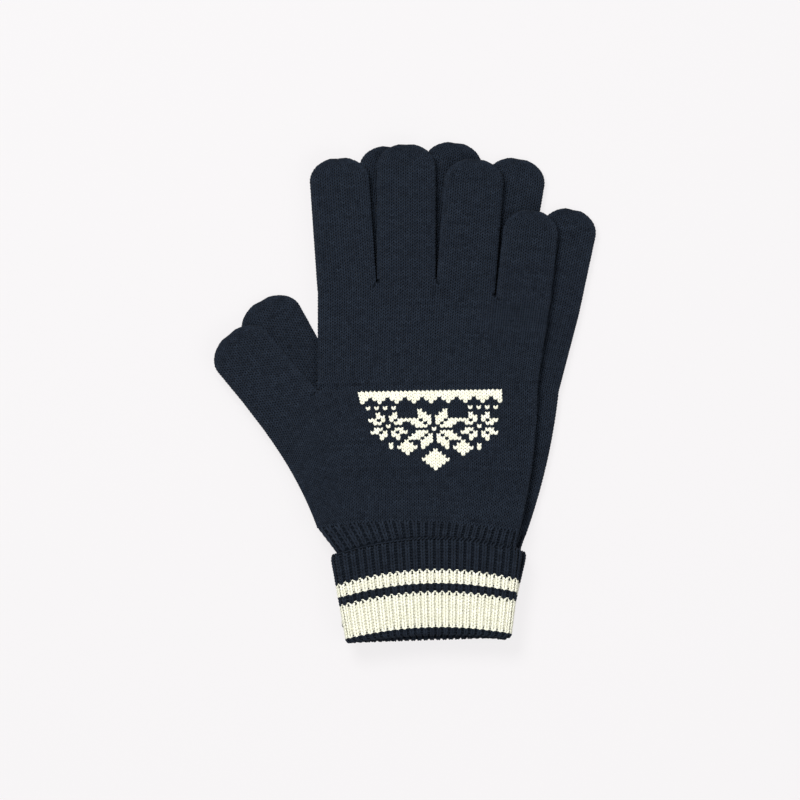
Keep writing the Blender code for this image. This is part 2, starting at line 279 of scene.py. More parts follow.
def hand_face(side, face):
    """Lattices of one face of a hand, 1 its upper and -1 its lower, and the plans of their ends."""
    outer, away, _ = thumb_line(side)
    web = CROTCH - away * CROTCH_WEB
    roots = finger_roots(side)
    borders = [
        ((a[0][0] + a[1] / 2 + b[0][0] - b[1] / 2) / 2, max(a[0][1], b[0][1]) + CROTCH_RISE)
        for a, b in zip(roots, roots[1:])
    ]
    lattices, plans = [], []
    thumb_end = THUMB_ROOT / FULL_LENGTH
    for rows, course, rise, parts in (
        (PALM_COURSES, palm_row, 1.0, ((thumb_end, THUMB_WALES), (None, PALM_WALES))),
        (KNUCKLE_COURSES, knuckle_row, 0.0, ((None, PALM_WALES),)),
    ):
        lattice = []
        for row in range(rows + 1):
            left_fold = 1.0 if course is palm_row else smooth(row / FOLD_COURSES)
            plan, thick = sheet_row(
                lambda across: course(side, row / rows, across), parts, rise, left_fold
            )
            along = np.clip((plan - web) @ (CROTCH - web) / CROTCH_WEB**2, 0, 1)
            reach = np.linalg.norm(plan - web - along[:, None] * (CROTCH - web), axis=1)
            thick = np.minimum(thick, round_fall(reach))
            for x, y in borders:
                reach = np.hypot(plan[:, 0] - x, 0.5 * np.minimum(plan[:, 1] - y, 0))
                thick = np.minimum(thick, CROTCH_DIP * ROUND + (1 - CROTCH_DIP) * round_fall(reach))
            thick = thick + swell(plan) * thick / ROUND
            lattice.append(laid(side, plan, level(side, plan[:, 1]) + face * thick))
        lattice = np.array(lattice)
        lattices.append(lattice if face > 0 else lattice[:, ::-1])
        plans.append(plan)
    return lattices, plans


def stitches_in(lattice, around=False):
    """Middle, wale, facing, width and height of the stitch in every mesh of a lattice."""
    if around:
        lattice = np.concatenate((lattice, lattice[:, :1]), axis=1)
    a, b = lattice[:-1, :-1], lattice[:-1, 1:]
    d, c = lattice[1:, :-1], lattice[1:, 1:]
    wale = (c + d - a - b) / 2
    facing = np.cross(c - a, d - b)
    height = np.linalg.norm(wale, axis=-1)
    course = (b + c - a - d) / 2
    width = np.linalg.norm(np.cross(course, wale), axis=-1) / np.maximum(height, 1e-9)
    facing = facing / np.maximum(np.linalg.norm(facing, axis=-1, keepdims=True), 1e-12)
    rows = np.repeat(np.arange(len(wale))[:, None], wale.shape[1], axis=1)
    return {
        "middle": (a + b + c + d) / 4,
        "wale": wale / np.maximum(height, 1e-9)[..., None],
        "facing": facing,
        "width": width,
        "height": height,
        "row": rows,
    }


def gathered(*fields):
    """Several fields of stitches as one flat list; a field may come with a mask of those kept."""
    kept = {}
    for field, mask in fields:
        for key, values in field.items():
            kept.setdefault(key, []).append(values[mask])
    return {key: np.concatenate(values) for key, values in kept.items()}


def every(field):
    return field, np.ones(field["width"].shape, bool)


def yarn_lengths(name, paths, sides=5, flat=0.85):
    """A small mesh of yarn lengths, pointed at both ends: each path holds (x, y, z, radius)."""
    points, faces, cell, twist = [], [], [], []
    for path in paths:
        first = len(points)
        places = [Vector(step[:3]) for step in path]
        points.append(places[0])
        for i in range(1, len(path) - 1):
            along = (places[i + 1] - places[i - 1]).normalized()
            aside = along.cross(Vector((0, 0, 1))).normalized()
            up = aside.cross(along)
            for k in range(sides):
                angle = 2 * math.pi * (k + 0.25) / sides
                reach = aside * math.cos(angle) + up * math.sin(angle) * flat
                points.append(places[i] + reach * path[i][3])
        points.append(places[-1])
        last = len(points) - 1
        rings = len(path) - 2
        for k in range(sides):
            n = (k + 1) % sides
            faces.append((first, first + 1 + k, first + 1 + n))
            twist.append(((0, k / sides), (1, k / sides), (1, (k + 1) / sides)))
            for r in range(rings - 1):
                a = first + 1 + r * sides
                b = a + sides
                faces.append((a + k, b + k, b + n, a + n))
                low, high = k / sides, (k + 1) / sides
                twist.append(((r + 1, low), (r + 2, low), (r + 2, high), (r + 1, high)))
            end = last - sides
            faces.append((last, end + n, end + k))
            twist.append(((rings + 1, k / sides), (rings, (k + 1) / sides), (rings, k / sides)))
    mesh = bpy.data.meshes.new(name)
    mesh.from_pydata(points, [], faces)
    for loops, uv in (("OFBake", None), ("Twist", twist)):
        layer = mesh.uv_layers.new(name=loops)
        for face, polygon in enumerate(mesh.polygons):
            for corner, loop in enumerate(polygon.loop_indices):
                at = points[mesh.loops[loop].vertex_index]
                place = (0.5 + 0.6 * at.x, 0.5 + 0.5 * at.y)
                layer.data[loop].uv = place if uv is None else uv[face][corner]
    mesh.shade_smooth()
    made = bpy.data.objects.new(name, mesh)
    bpy.context.scene.collection.objects.link(made)
    return made


def new_socket(tree, label, kind, default=None):
    socket = tree.interface.new_socket(label, in_out="INPUT", socket_type=kind)
    if default is not None:
        socket.default_value = default
    return socket


def shown(sockets, name):
    """The socket of this name that the node's settings leave in use."""
    return next(socket for socket in sockets if socket.name == name and socket.enabled)


def stitching_tree():
    """Lays one stitch on every point of a fabric, turned to its wale and sized to its place."""
    tree = bpy.data.node_groups.new("stitching", "GeometryNodeTree")
    new_socket(tree, "Places", "NodeSocketGeometry")
    new_socket(tree, "Stitch", "NodeSocketObject")
    new_socket(tree, "Yarn", "NodeSocketMaterial")
    new_socket(tree, "Wobble", "NodeSocketFloat", 0.07)
    new_socket(tree, "Size Spread", "NodeSocketFloat", 0.06)
    new_socket(tree, "Map Cell", "NodeSocketFloat", 0.01)
    new_socket(tree, "Seed", "NodeSocketInt", 1)
    tree.interface.new_socket("Knitting", in_out="OUTPUT", socket_type="NodeSocketGeometry")
    node, link = tree.nodes.new, tree.links.new
    given = node("NodeGroupInput")

    def stored(name):
        reader = node("GeometryNodeInputNamedAttribute")
        reader.data_type = "FLOAT_VECTOR"
        reader.inputs["Name"].default_value = name
        return shown(reader.outputs, "Attribute")

    def random(low, high, shift):
        spread = node("FunctionNodeRandomValue")
        spread.data_type = "FLOAT_VECTOR"
        link(low, shown(spread.inputs, "Min"))
        link(high, shown(spread.inputs, "Max"))
        add = node("ShaderNodeMath")
        add.inputs[1].default_value = shift
        link(given.outputs["Seed"], add.inputs[0])
        link(add.outputs[0], shown(spread.inputs, "Seed"))
        return shown(spread.outputs, "Value")

    def maths(kind, first, second):
        sum_ = node("ShaderNodeVectorMath")
        sum_.operation = kind
        for socket, value in zip(sum_.inputs, (first, second)):
            if isinstance(value, tuple):
                socket.default_value = value
            else:
                link(value, socket)
        return sum_.outputs[0]

    face_out = node("FunctionNodeAlignRotationToVector")
    face_out.axis = "Z"
    link(stored("facing"), face_out.inputs["Vector"])
    up_wale = node("FunctionNodeAlignRotationToVector")
    up_wale.axis = "Y"
    up_wale.pivot_axis = "Z"
    link(face_out.outputs[0], up_wale.inputs["Rotation"])
    link(stored("wale"), up_wale.inputs["Vector"])
    less = maths("MULTIPLY", given.outputs["Wobble"], (-1.0, -1.0, -1.0))
    shake = node("FunctionNodeEulerToRotation")
    link(random(less, given.outputs["Wobble"], 0), shake.inputs[0])
    turned = node("FunctionNodeRotateRotation")
    turned.rotation_space = "LOCAL"
    link(up_wale.outputs[0], turned.inputs["Rotation"])
    link(shake.outputs[0], turned.inputs["Rotate By"])
    small = maths("SUBTRACT", (1.0, 1.0, 1.0), given.outputs["Size Spread"])
    large = maths("ADD", (1.0, 1.0, 1.0), given.outputs["Size Spread"])
    size = maths("MULTIPLY", stored("size"), random(small, large, 7))
    pattern = node("GeometryNodeObjectInfo")
    link(given.outputs["Stitch"], pattern.inputs["Object"])
    lay = node("GeometryNodeInstanceOnPoints")
    link(given.outputs["Places"], lay.inputs["Points"])
    link(pattern.outputs["Geometry"], lay.inputs["Instance"])
    link(turned.outputs[0], lay.inputs["Rotation"])
    link(size, lay.inputs["Scale"])
    solid = node("GeometryNodeRealizeInstances")
    link(lay.outputs[0], solid.inputs[0])
    store = node("GeometryNodeStoreNamedAttribute")
    store.data_type = "FLOAT2"
    store.domain = "CORNER"
    store.inputs["Name"].default_value = "OFBake"
    link(solid.outputs[0], store.inputs["Geometry"])
    inside = maths("MULTIPLY", stored("OFBake"), given.outputs["Map Cell"])
    link(maths("ADD", inside, stored("cell")), shown(store.inputs, "Value"))
    dye = node("GeometryNodeSetMaterial")
    link(store.outputs[0], dye.inputs["Geometry"])
    link(given.outputs["Yarn"], dye.inputs["Material"])
    link(dye.outputs[0], node("NodeGroupOutput").inputs[0])
    return tree


STITCHING = stitching_tree()


def knitted(name, field, stitch, yarn, depth=WALE, wide=1.0, tall=1.0, wobble=0.07, seed=1):
    """One piece of knitting: this stitch on every place of the field."""
    count = len(field["width"])
    lot = np.random.default_rng(seed)
    rows = lot.normal(0, 1, int(field["row"].max()) + 1)
    tone = 0.5 + 0.13 * lot.normal(0, 1, count) + 0.05 * rows[field["row"]]
    across = math.ceil(math.sqrt(count))
    order = np.arange(count)
    cells = np.stack((order % across, order // across, 0 * order), -1) / across
    size = np.stack((field["width"] * wide, field["height"] * tall, np.full(count, depth)), -1)
    mesh = bpy.data.meshes.new(name)
    mesh.vertices.add(count)
    mesh.vertices.foreach_set("co", field["middle"].astype(np.float32).ravel())
    for label, values in (
        ("wale", field["wale"]),
        ("facing", field["facing"]),
        ("size", size),
        ("cell", cells),
    ):
        layer = mesh.attributes.new(label, "FLOAT_VECTOR", "POINT")
        layer.data.foreach_set("vector", values.astype(np.float32).ravel())
    layer = mesh.attributes.new("tone", "FLOAT", "POINT")
    layer.data.foreach_set("value", np.clip(tone, 0, 1).astype(np.float32))
    places = bpy.data.objects.new(f"{name}_places", mesh)
    bpy.context.scene.collection.objects.link(places)
    laying = places.modifiers.new("stitching", "NODES")
    laying.node_group = STITCHING
    settings = {
        "Stitch": stitch,
        "Yarn": yarn,
        "Wobble": wobble,
        "Map Cell": 1 / across,
        "Seed": seed,
    }
    for item in STITCHING.interface.items_tree:
        if item.in_out == "INPUT" and item.name in settings:
            laying[item.identifier] = settings[item.name]
    bpy.context.view_layer.update()
    graph = bpy.context.evaluated_depsgraph_get()
    made = bpy.data.meshes.new_from_object(places.evaluated_get(graph), depsgraph=graph)
    made.name = name
    for spare in ("wale", "facing", "size", "cell"):
        if spare in made.attributes:
            made.attributes.remove(made.attributes[spare])
    bpy.data.objects.remove(places, do_unlink=True)
    piece = bpy.data.objects.new(name, made)
    bpy.context.scene.collection.objects.link(piece)
    return piece


def facing_of(lattice, around):
    along = np.gradient(lattice, axis=0)
    if around:
        across = np.roll(lattice, -1, axis=1) - np.roll(lattice, 1, axis=1)
    else:
        across = np.gradient(lattice, axis=1)
    out = np.cross(across, along)
    return out / np.maximum(np.linalg.norm(out, axis=-1, keepdims=True), 1e-12)


def thinned(lattice, step, around):
    """Every second or third line of a lattice, and always its last; rings keep all their points."""
    rows, columns = (sorted({*range(0, n, step), n - 1}) for n in lattice.shape[:2])
    return lattice[rows] if around else lattice[np.ix_(rows, columns)]


def fabric(name, sheets, yarn, outer=0.00025, inner=0.0010, around=False, tip=False, step=2):
    """The fabric's own thickness under the stitches: closed layers, one from each lattice."""
    points, faces = [], []
    for sheet in sheets:
        grid = thinned(sheet, step, around)
        out = facing_of(grid, around)
        rows, columns = grid.shape[:2]
        first = len(points)
        for depth in (outer, inner):
            points.extend((grid - out * depth).reshape(-1, 3).tolist())
        size = rows * columns

        def at(j, i, deep):
            return first + deep * size + j * columns + i % columns

        for j in range(rows - 1):
            for i in range(columns if around else columns - 1):
                faces.append((at(j, i, 0), at(j, i + 1, 0), at(j + 1, i + 1, 0), at(j + 1, i, 0)))
                faces.append((at(j + 1, i, 1), at(j + 1, i + 1, 1), at(j, i + 1, 1), at(j, i, 1)))
        for i in range(columns if around else columns - 1):
            faces.append((at(0, i, 1), at(0, i + 1, 1), at(0, i + 1, 0), at(0, i, 0)))
            if not tip:
                j = rows - 1
                faces.append((at(j, i, 0), at(j, i + 1, 0), at(j, i + 1, 1), at(j, i, 1)))
        if tip:
            faces.append(tuple(at(rows - 1, i, 0) for i in range(columns)))
            faces.append(tuple(at(rows - 1, i, 1) for i in reversed(range(columns))))
        if not around:
            for j in range(rows - 1):
                i = columns - 1
                faces.append((at(j, 0, 0), at(j + 1, 0, 0), at(j + 1, 0, 1), at(j, 0, 1)))
                faces.append((at(j, i, 1), at(j + 1, i, 1), at(j + 1, i, 0), at(j, i, 0)))
    mesh = bpy.data.meshes.new(name)
    mesh.from_pydata(points, [], faces)
    mesh.shade_smooth()
    mesh.materials.append(yarn)
    piece = bpy.data.objects.new(name, mesh)
    bpy.context.scene.collection.objects.link(piece)
    return piece


def yarn_finish(name, shade, light, sheen, twist=0.35):
    """A wool yarn: two close shades from stitch to stitch, loose fibre, a soft twist of plies."""
    material = bpy.data.materials.new(name)
    material.use_nodes = True
    tree = material.node_tree
    node, link = tree.nodes.new, tree.links.new
    shader = tree.nodes["Principled BSDF"]
    shader.inputs["Roughness"].default_value = 0.92
    shader.inputs["Specular IOR Level"].default_value = 0.12
    shader.inputs["Sheen Weight"].default_value = sheen
    shader.inputs["Sheen Roughness"].default_value = 0.45
    tone = node("ShaderNodeAttribute")
    tone.attribute_name = "tone"
    where = node("ShaderNodeTexCoord")
    heather = node("ShaderNodeTexNoise")
    heather.inputs["Scale"].default_value = 1300.0
    heather.inputs["Detail"].default_value = 2.0
    link(where.outputs["Object"], heather.inputs["Vector"])
    both = node("ShaderNodeMath")
    both.operation = "MULTIPLY_ADD"
    link(heather.outputs["Fac"], both.inputs[0])
    both.inputs[1].default_value = 0.5
    link(tone.outputs["Fac"], both.inputs[2])
    less = node("ShaderNodeMath")
    less.operation = "SUBTRACT"
    less.use_clamp = True
    link(both.outputs[0], less.inputs[0])
    less.inputs[1].default_value = 0.25
    dye = node("ShaderNodeMix")
    dye.data_type = "RGBA"
    link(less.outputs[0], shown(dye.inputs, "Factor"))
    shown(dye.inputs, "A").default_value = (*shade, 1.0)
    shown(dye.inputs, "B").default_value = (*light, 1.0)
    link(shown(dye.outputs, "Result"), shader.inputs["Base Color"])
    lie = node("ShaderNodeUVMap")
    lie.uv_map = "Twist"
    plies = node("ShaderNodeTexWave")
    plies.wave_type = "BANDS"
    plies.bands_direction = "DIAGONAL"
    plies.inputs["Scale"].default_value = 0.9
    plies.inputs["Distortion"].default_value = 1.5
    link(lie.outputs["UV"], plies.inputs["Vector"])
    fibre = node("ShaderNodeTexNoise")
    fibre.inputs["Scale"].default_value = 9000.0
    fibre.inputs["Detail"].default_value = 3.0
    link(where.outputs["Object"], fibre.inputs["Vector"])
    height = node("ShaderNodeMath")
    height.operation = "MULTIPLY_ADD"
    link(plies.outputs["Fac"], height.inputs[0])
    height.inputs[1].default_value = twist
    link(fibre.outputs["Fac"], height.inputs[2])
    relief = node("ShaderNodeBump")
    relief.inputs["Strength"].default_value = 0.5
    relief.inputs["Distance"].default_value = 0.00012
    link(height.outputs[0], relief.inputs["Height"])
    link(relief.outputs["Normal"], shader.inputs["Normal"])
    return material


def painted_shade_finish(name, colour):
    """The inside of the knitting, seen only between its stitches, in painted shade: a colour darker
    than its yarn, mottled at random.
    """
    material = bpy.data.materials.new(name)
    material.use_nodes = True
    tree = material.node_tree
    shader = tree.nodes["Principled BSDF"]
    shader.inputs["Roughness"].default_value = 1.0
    shader.inputs["Specular IOR Level"].default_value = 0.1
    where = tree.nodes.new("ShaderNodeTexCoord")
    grain = tree.nodes.new("ShaderNodeTexNoise")
    grain.inputs["Scale"].default_value = 2200.0
    tree.links.new(where.outputs["Object"], grain.inputs["Vector"])
    dye = tree.nodes.new("ShaderNodeMix")
    dye.data_type = "RGBA"
    tree.links.new(grain.outputs["Fac"], shown(dye.inputs, "Factor"))
    shown(dye.inputs, "A").default_value = (*[c * 0.6 for c in colour], 1.0)
    shown(dye.inputs, "B").default_value = (*[c * 1.3 for c in colour], 1.0)
    tree.links.new(shown(dye.outputs, "Result"), shader.inputs["Base Color"])
    return material


NAVY = yarn_finish("navy_knit_yarn", (0.0060, 0.0095, 0.0168), (0.0178, 0.0260, 0.0415), 0.03)
# The navy ground is painted shade: far darker than the navy yarn, it stands for the shadow seen
# between the stitches.
NAVY_SHADE_GROUND = painted_shade_finish("navy_painted_shade", (0.0040, 0.0063, 0.0105))

# A plain stitch, as wide and as high as 1: two legs of yarn that rise from its foot.
PLAIN_LEG = (
    (0.05, -0.86, -0.20, 0),
    (0.15, -0.36, 0.05, 0.205),
    (0.33, 0.34, 0.07, 0.205),
    (0.47, 0.88, -0.20, 0),
)
PLAIN = yarn_lengths(
    "plain_stitch",
    (PLAIN_LEG, [(-x, y, z, r) for x, y, z, r in PLAIN_LEG]),
)

palm_fields, open_ends = {}, {}
for side in SIDES:
    faces = {}
    for face in (1, -1):
        faces[face], open_ends[side] = hand_face(side, face)
    ground = fabric(f"{side}_hand_ground", faces[1] + faces[-1], NAVY_SHADE_GROUND)
    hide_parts(f"{side}_hand")
    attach(ground, f"{side}_glove")
    palm_fields[side] = {face: [stitches_in(lattice) for lattice in faces[face]] for face in faces}

# ------------------------------------------------------------------------------------------
# The patterned patches. On the back of each hand a second, cream yarn is knitted in by stitch:
# a two-course band, a row of teeth, an eight-petalled star between two smaller ones, and
# diamonds down to a point. It is the same fabric, and the cream lies a little proud.

PATCH_MIDDLE = np.array((0.0153, -0.0166))
PATCH_HALF_WALES = 16
PATCH_COURSES = 26
BACK = {"right": 1, "left": -1}  # which face of the flat glove is the back of the hand


def in_star(across, up, petal):
    near, far = sorted((abs(across), abs(up)))
    return 1 <= near <= petal and 1 <= far - near <= petal


def in_patch(across, down):
    """Whether this stitch is cream: wales from the middle, courses from the patch's top."""
    x = abs(across)
    if down < 4:
        return down < 2 or x % 4 == 0 or (down == 2 and x % 4 != 2)
    return (
        in_star(across, down - 12, 3)
        or in_star(x - 11, down - 11, 2)
        or (x >= 8 and down == 5 and x % 2 == 1)
        or abs(x - 7) + abs(down - 18) <= 2
        or x + abs(down - 22) <= 3
        or (x == 11 and down in (11, 17, 18))
        or (x == 0 and down == 12)
    )


PATCH_STITCH = yarn_lengths(
    "patch_stitch",
    [[(s * x, y, z, r * 1.3) for x, y, z, r in PLAIN_LEG] for s in (1, -1)],
)
CREAM = yarn_finish("cream_knit_yarn", (0.80, 0.79, 0.63), (0.96, 0.95, 0.83), 0.10)


def patch_mask(field, side):
    """Which stitches of the hand's back are knitted in cream."""
    target = laid(side, PATCH_MIDDLE, np.array(0.0))[:2]
    away = np.linalg.norm(field["middle"][..., :2] - target, axis=-1)
    row, column = np.unravel_index(np.argmin(away), away.shape)
    mask = np.zeros(away.shape, bool)
    for down in range(PATCH_COURSES):
        for across in range(-PATCH_HALF_WALES, PATCH_HALF_WALES + 1):
            j = row + PATCH_COURSES // 2 - down
            if in_patch(across, down):
                mask[j, column + across] = True
    return mask


for number, side in enumerate(SIDES):
    for face, fields in palm_fields[side].items():
        lower, upper = fields
        plain = np.ones(lower["width"].shape, bool)
        if face == BACK[side]:
            cream = patch_mask(lower, side)
            plain = ~cream
            stitches = gathered((lower, cream))
            patch = knitted(
                f"{side}_patch", stitches, PATCH_STITCH, CREAM, WALE, 1.06, 1.05, 0.05, 40 + number
            )
            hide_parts(f"{side}_motif")
            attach(patch, f"{side}_glove")
        label = "back" if face == BACK[side] else "palm"
        stitches = gathered((lower, plain), every(upper))
        skin = knitted(f"{side}_{label}", stitches, PLAIN, NAVY, seed=10 + 2 * number + face)
        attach(skin, f"{side}_glove")

# ------------------------------------------------------------------------------------------
# The finger stalls. Each is its own small tube of the same plain knitting, picked up round its
# root, narrowed over the last courses and drawn together at the tip.

TIP_LENGTH = 0.0100  # length over which a fingertip rounds off
TIP_TURN = 0.9656  # how far along its half ellipse a fingertip runs before it is drawn together
TIP_REACH = 0.98  # how far round its end a stall's courses go
BLUNT_END = 0.12  # thickness left at a tip, as a share of the stall's
THUMB_WIDTH = 0.0285
STALL_WALE = 0.0021  # about the width of a stitch in a stall


def ring_point(share, half_width, half_height):
    """Points (x, z) at shares of the way round a flat tube, from its left fold over the top."""
    radius = np.minimum(half_height, half_width)
    straight = half_width - radius
    quarter = radius * math.pi / 2
    run = (share % 1.0) * (4 * straight + 4 * quarter)
    under = run > 2 * straight + 2 * quarter
    run = np.where(under, 4 * straight + 4 * quarter - run, run)
    x = np.where(
        run < quarter,
        -straight - radius * np.cos(run / radius),
        np.where(
            run > quarter + 2 * straight,
            straight + radius * np.sin((run - quarter - 2 * straight) / radius),
            run - quarter - straight,
        ),
    )
    z = np.where(
        run < quarter,
        radius * np.sin(run / radius),
        np.where(
            run > quarter + 2 * straight,
            radius * np.cos((run - quarter - 2 * straight) / radius),
            radius,
        ),
    )
    return x, np.where(under, -z, z) * half_height / radius


STALL_SINK = 0.0002  # depth of the yarn's middle in a stall's sides, which lie close together


def stall_lattice(side, root, root_width, width, length, lean, wales):
    """Rings of fabric points from a stall's root to its tip, in line with the hand's wales."""
    beside = wales - root
    offset = beside[:, 0] * math.cos(lean) + beside[:, 1] * math.sin(lean)
    offset = offset[np.argmin(np.abs(offset))]
    around = 4 * (width / 2 - SINK - ROUND) + 2 * math.pi * ROUND
    count = 2 * round(around / (2 * STALL_WALE))
    phase = count * (0.25 + offset / around) % 1.0
    end = length - SINK
    flat = end - ROUND
    arc = flat + ROOT_GAP[side] + ROUND * math.pi / 2 * TIP_REACH
    courses = round(arc / COURSE)
    rings = []
    for run in np.linspace(0, arc, courses + 1):
        past = max(0.0, run - ROOT_GAP[side] - flat)
        turn = past / ROUND
        y = run - ROOT_GAP[side] if past == 0 else flat + ROUND * math.sin(turn)
        thick = max(ROUND * math.cos(turn), BLUNT_END * ROUND)
        shoulder = end - (TIP_LENGTH - SINK)
        bend = TIP_TURN * min(max((y - shoulder) / (TIP_LENGTH - SINK), 0.0), 1.0)
        half = (width / 2 - STALL_SINK) * math.sqrt(1 - bend**2)
        if y < shoulder / 2:
            half = (root_width + (width - root_width) * max(y, 0) / (shoulder / 2)) / 2 - STALL_SINK
        share = (np.arange(count) + phase) / count
        x, z = ring_point(share, half, thick)
        c, s = math.cos(lean), math.sin(lean)
        plan = root + np.stack((c * x - s * y, s * x + c * y), -1)
        uneven = swell(plan) * np.sign(z) * thick / ROUND
        rings.append(laid(side, plan, HAND_LEVEL[side] + z + uneven))
    return np.array(rings)


def stall_axis(side, root, lean):
    """Where a stall leaves the hand, and the direction it points in, in the frame."""
    height = np.array(HAND_LEVEL[side])
    start = laid(side, root, height)
    ahead = laid(side, root + np.array((-math.sin(lean), math.cos(lean))), height)
    return Vector(start), Vector(ahead - start).normalized()


for number, side in enumerate(SIDES):
    stalls = [
        (name, width, width, length, root[2], root[0])
        for (name, width, _), (length, _), root in zip(FINGERS, LYING[side], finger_roots(side))
    ]
    outer, away, lean = thumb_line(side)
    stalls.append(
        ("thumb", THUMB_ROOT - 2 * GAP, THUMB_WIDTH, LYING[side][-1][0], lean, (CROTCH + outer) / 2)
    )
    for order, (name, root_width, width, length, lean, root) in enumerate(stalls):
        wales = open_ends[side][0 if name == "thumb" else 1]
        lattice = stall_lattice(side, root, root_width, width, length, lean, wales)
        stitches = gathered(every(stitches_in(lattice, True)))
        skin = knitted(f"{side}_{name}", stitches, PLAIN, NAVY, seed=60 + 10 * number + order)
        ground = fabric(f"{side}_{name}_ground", [lattice], NAVY_SHADE_GROUND, around=True, tip=True)
        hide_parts(f"{side}_{name}")
        start, ahead = stall_axis(side, root, lean)
        for piece in (skin, ground):
            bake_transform(piece)

# ------------------------------------------------------------------------------------------
# The ribs. Between the hand and the turned-up cuff shows a strip of the ribbed layer, one knit
# wale to one purl wale, drawn in at the wrist. It runs on down inside the turn-up to its fold.

RIB_SHOWN = 0.0069
CUFF_X = 0.0112  # middle of the cuff's free edge
FOLD_X = 0.0124  # and of its fold
FOLD_WIDTH = 0.0734
EDGE_WIDTH = 0.0870
FOLD_BOW = 0.0002  # rise of the fold's middle above its ends
LOW_BOW = 0.0038  # rise of a course's middle above its ends, just above the fold
EDGE_BOW = 0.0067  # and at the free edge
CUFF_SLOPE = 0.032
CUFF_HALF = HALF + GAP + WALL
CUFF_BANDS = (  # height, yarn and courses of each band, from the fold up
    ("cuff_fold_band", 0.0061, "navy", 4),
    ("cuff_wide_stripe", 0.0155, "cream", 11),
    ("cuff_middle_band", 0.0043, "navy", 3),
    ("cuff_thin_stripe", 0.0056, "cream", 4),
    ("cuff_top_band", 0.0138, "navy", 10),
    ("cuff_edge", 0.0014, "navy", 1),
)
CUFF_HEIGHT = sum(band[1] for band in CUFF_BANDS)
RIBS = 52
KNIT_SHARE = {"navy": 0.68, "cream": 0.82}  # of a rib's width, taken by its knit wale
VALLEY = 0.00045  # how far a purl wale lies below the knit ones
RIB_COURSE = 0.0014
RIB_DEPTH = 0.0019  # thickness that a rib's stitches are drawn to
RIB_START = 0.0070  # height above the fold where the inner layer's own fabric begins
RIB_GROUND = 0.0007  # how far below the yarn the ribbed fabric's own layer ends
WRIST_EASE = 0.020  # shift of the ribs at the wrist that keeps them upright, as a share of the ring
CORNER = 0.0030  # height over which the cuff's corners round off, and how much narrower it gets


def cuff_point(side, share, height, depth):
    """Points of the cuff: shares round it, heights above its fold, depths below its surface."""
    up = height / CUFF_HEIGHT
    corner = np.clip(1 - np.minimum(height, CUFF_HEIGHT - height) / CORNER, 0, 1)
    width = FOLD_WIDTH + (EDGE_WIDTH - FOLD_WIDTH) * up - CORNER * corner**2
    bow = LOW_BOW + (EDGE_BOW - LOW_BOW) * up
    x, z = ring_point(share, width / 2 - depth, CUFF_HALF - depth)
    y = WRIST[1] - RIB_SHOWN - CUFF_HEIGHT + height + CUFF_SLOPE * x - bow * (2 * x / width) ** 2
    middle = FOLD_X + (CUFF_X - FOLD_X) * up
    return laid(side, np.stack((middle + x, y), -1), CUFF_LEVEL[side] + z)


def rib_columns(colour):
    """Shares round a cuff of the lines between its knit and purl wales."""
    edges = []
    for rib in range(RIBS):
        edges += [rib + 0.5 - KNIT_SHARE[colour] / 2, rib + 0.5 + KNIT_SHARE[colour] / 2]
    return np.array(edges) / RIBS


def rib_profile(share):
    """How deep the fabric lies at these shares round the cuff: 0 on a rib, VALLEY between two."""
    beside = np.abs((share * RIBS) % 1.0 - 0.5) * 2  # 0 on the rib's crest, 1 in the valley
    return VALLEY * smooth((beside - 0.35) / 0.5)


def wrist_ring(side, share, depth):
    share = share + WRIST_EASE * np.sin(2 * math.pi * share)
    x, z = ring_point(share, WRIST_WIDTH / 2 - depth, HALF - depth)
    plan = wrist_line(x / WRIST_WIDTH + 0.5)
    return laid(side, plan, level(side, plan[:, 1]) + z)


def inner_rib(side, share, depth):
    """Rings of the ribbed layer from under the turn-up to the wrist."""
    under = WALL + GAP + depth
    rings = [
        cuff_point(side, share, np.full(len(share), CUFF_HEIGHT - RIB_COURSE * step), under)
        for step in range(5, 0, -1)
    ]
    low = cuff_point(side, share, np.full(len(share), CUFF_HEIGHT), under)
    high = wrist_ring(side, share, depth)
    rings += [low + (high - low) * t for t in np.linspace(0, 1, 6)]
    return np.array(rings)


def split_rib(lattice):
    """The knit stitches and the purl ones of a ribbed lattice, the purl ones sunk."""
    field = stitches_in(lattice, True)
    knit = np.zeros(field["width"].shape, bool)
    knit[:, 0::2] = True
    field["middle"] = field["middle"] - field["facing"] * np.where(knit, 0, 0.7 * VALLEY)[..., None]
    return field, knit


RIB_NAVY = yarn_finish("navy_rib_yarn", (0.0060, 0.0092, 0.0160), (0.0165, 0.0238, 0.0375), 0.03)
# The cream ground is painted shade too: a little darker than the cream yarn, for the shade between
# the ribs.
CREAM_SHADE_GROUND = painted_shade_finish("cream_painted_shade", (0.84, 0.82, 0.67))
RIB_LEG = (
    (0.05, -0.86, -0.18, 0),
    (0.17, -0.40, 0.06, 0.215),
    (0.25, 0.05, 0.12, 0.255),
    (0.33, 0.45, 0.06, 0.215),
    (0.43, 0.88, -0.18, 0),
)
KNIT = yarn_lengths("knit_rib_stitch", (RIB_LEG, [(-x, y, z, r) for x, y, z, r in RIB_LEG]))
PURL_LENGTH = (
    (-0.62, -0.22, -0.2, 0),
    (-0.25, 0.10, 0.0, 0.17),
    (0.25, 0.10, 0.0, 0.17),
    (0.62, -0.22, -0.2, 0),
)
PURL = yarn_lengths("purl_bump", (PURL_LENGTH,))


def ribbed(name, stitches, pattern, yarn, wobble, seed, wide=1.0):
    """One piece of ribbed knitting, from a field of stitches and the mask of those it holds."""
    return knitted(name, gathered(stitches), pattern, yarn, RIB_DEPTH, wide, 1.0, wobble, seed)


